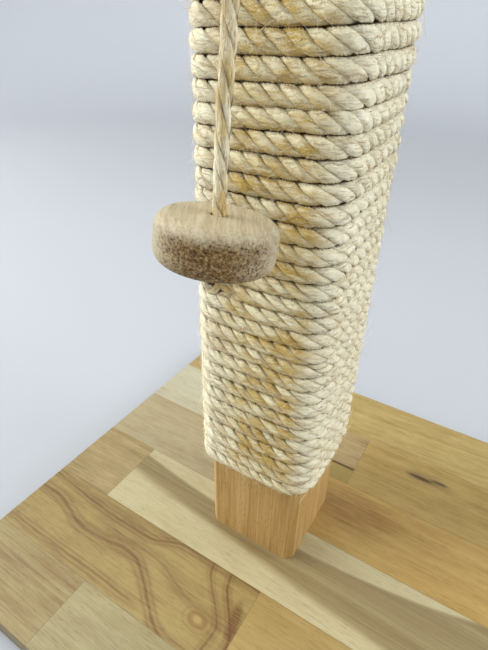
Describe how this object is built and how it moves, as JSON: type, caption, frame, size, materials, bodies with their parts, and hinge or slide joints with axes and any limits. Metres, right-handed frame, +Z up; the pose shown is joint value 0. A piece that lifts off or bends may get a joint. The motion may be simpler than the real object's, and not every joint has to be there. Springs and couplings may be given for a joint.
{
  "type": "cat scratching post",
  "caption": "Square post wound with sisal rope on a staved hardwood base, with a top plate and a wooden disc toy hanging in front on a twisted cord.",
  "frame": {"origin": "on the floor, under the middle of the post and of the base", "axes": "+Z up the post, +X along the staves of the base, the toy hangs on the -Y side"},
  "size_m": [0.35, 0.35, 0.6013],
  "materials": {
    "base_hardwood": "oiled, semi-matt, staves of differing colour",
    "plate_hardwood": "oiled, semi-matt",
    "post_beech": "planed, oiled beech",
    "sisal_rope": "natural three-strand sisal, hairy",
    "toy_cord": "natural fibre cord, twisted",
    "disc_wood": "turned and sanded, open pores",
    "felt": "pressed felt",
    "zinced_steel": "zinc-plated"
  },
  "bodies": {
    "stand": {"base_screws": "zinced_steel", "base_stave_1_1": "base_hardwood", "base_stave_1_2": "base_hardwood", "base_stave_1_3": "base_hardwood", "base_stave_2_1": "base_hardwood", "base_stave_2_2": "base_hardwood", "base_stave_3_1": "base_hardwood", "base_stave_3_2": "base_hardwood", "base_stave_4_1": "base_hardwood", "base_stave_4_2": "base_hardwood", "base_stave_5_1": "base_hardwood", "base_stave_5_2": "base_hardwood", "base_stave_5_3": "base_hardwood", "base_stave_6_1": "base_hardwood", "base_stave_6_2": "base_hardwood", "felt_pads": "felt", "plate_plugs": "plate_hardwood", "plate_screws": "zinced_steel", "plate_stave_1_1": "plate_hardwood", "plate_stave_2_1": "plate_hardwood", "plate_stave_2_2": "plate_hardwood", "plate_stave_3_1": "plate_hardwood", "plate_stave_4_1": "plate_hardwood", "plate_stave_4_2": "plate_hardwood", "post": "post_beech", "rope_nails": "zinced_steel", "rope_winding_lower": "sisal_rope", "rope_winding_upper": "sisal_rope", "toy_cord_in_plate": "toy_cord", "toy_top_knot": "toy_cord"},
    "cord_bend": {"toy_cord_bend": "toy_cord"},
    "toy_line": {"toy_cord": "toy_cord"},
    "toy_end": {"toy_knot": "toy_cord"},
    "disc": {"toy_disc": "disc_wood"}
  },
  "joints": [
    {"name": "toy_swing_side", "type": "hinge", "parent": "stand", "child": "cord_bend", "pos_m": [0.006, -0.08006, 0.56065], "axis": [0, 1, 0], "range_deg": [-75, 75]},
    {"name": "toy_swing_front", "type": "hinge", "parent": "cord_bend", "child": "toy_line", "pos_m": [0.006, -0.08006, 0.56065], "axis": [1, 0, 0], "range_deg": [-75, 1.6]},
    {"name": "toy_spin", "type": "hinge", "parent": "toy_line", "child": "toy_end", "pos_m": [0.00539, -0.08006, 0.2707], "axis": [0.0427, 0, 0.9991], "continuous": true},
    {"name": "disc_slide", "type": "slide", "parent": "toy_end", "child": "disc", "axis": [0.0427, 0, 0.9991], "range_m": [0, 0.025]}
  ]
}
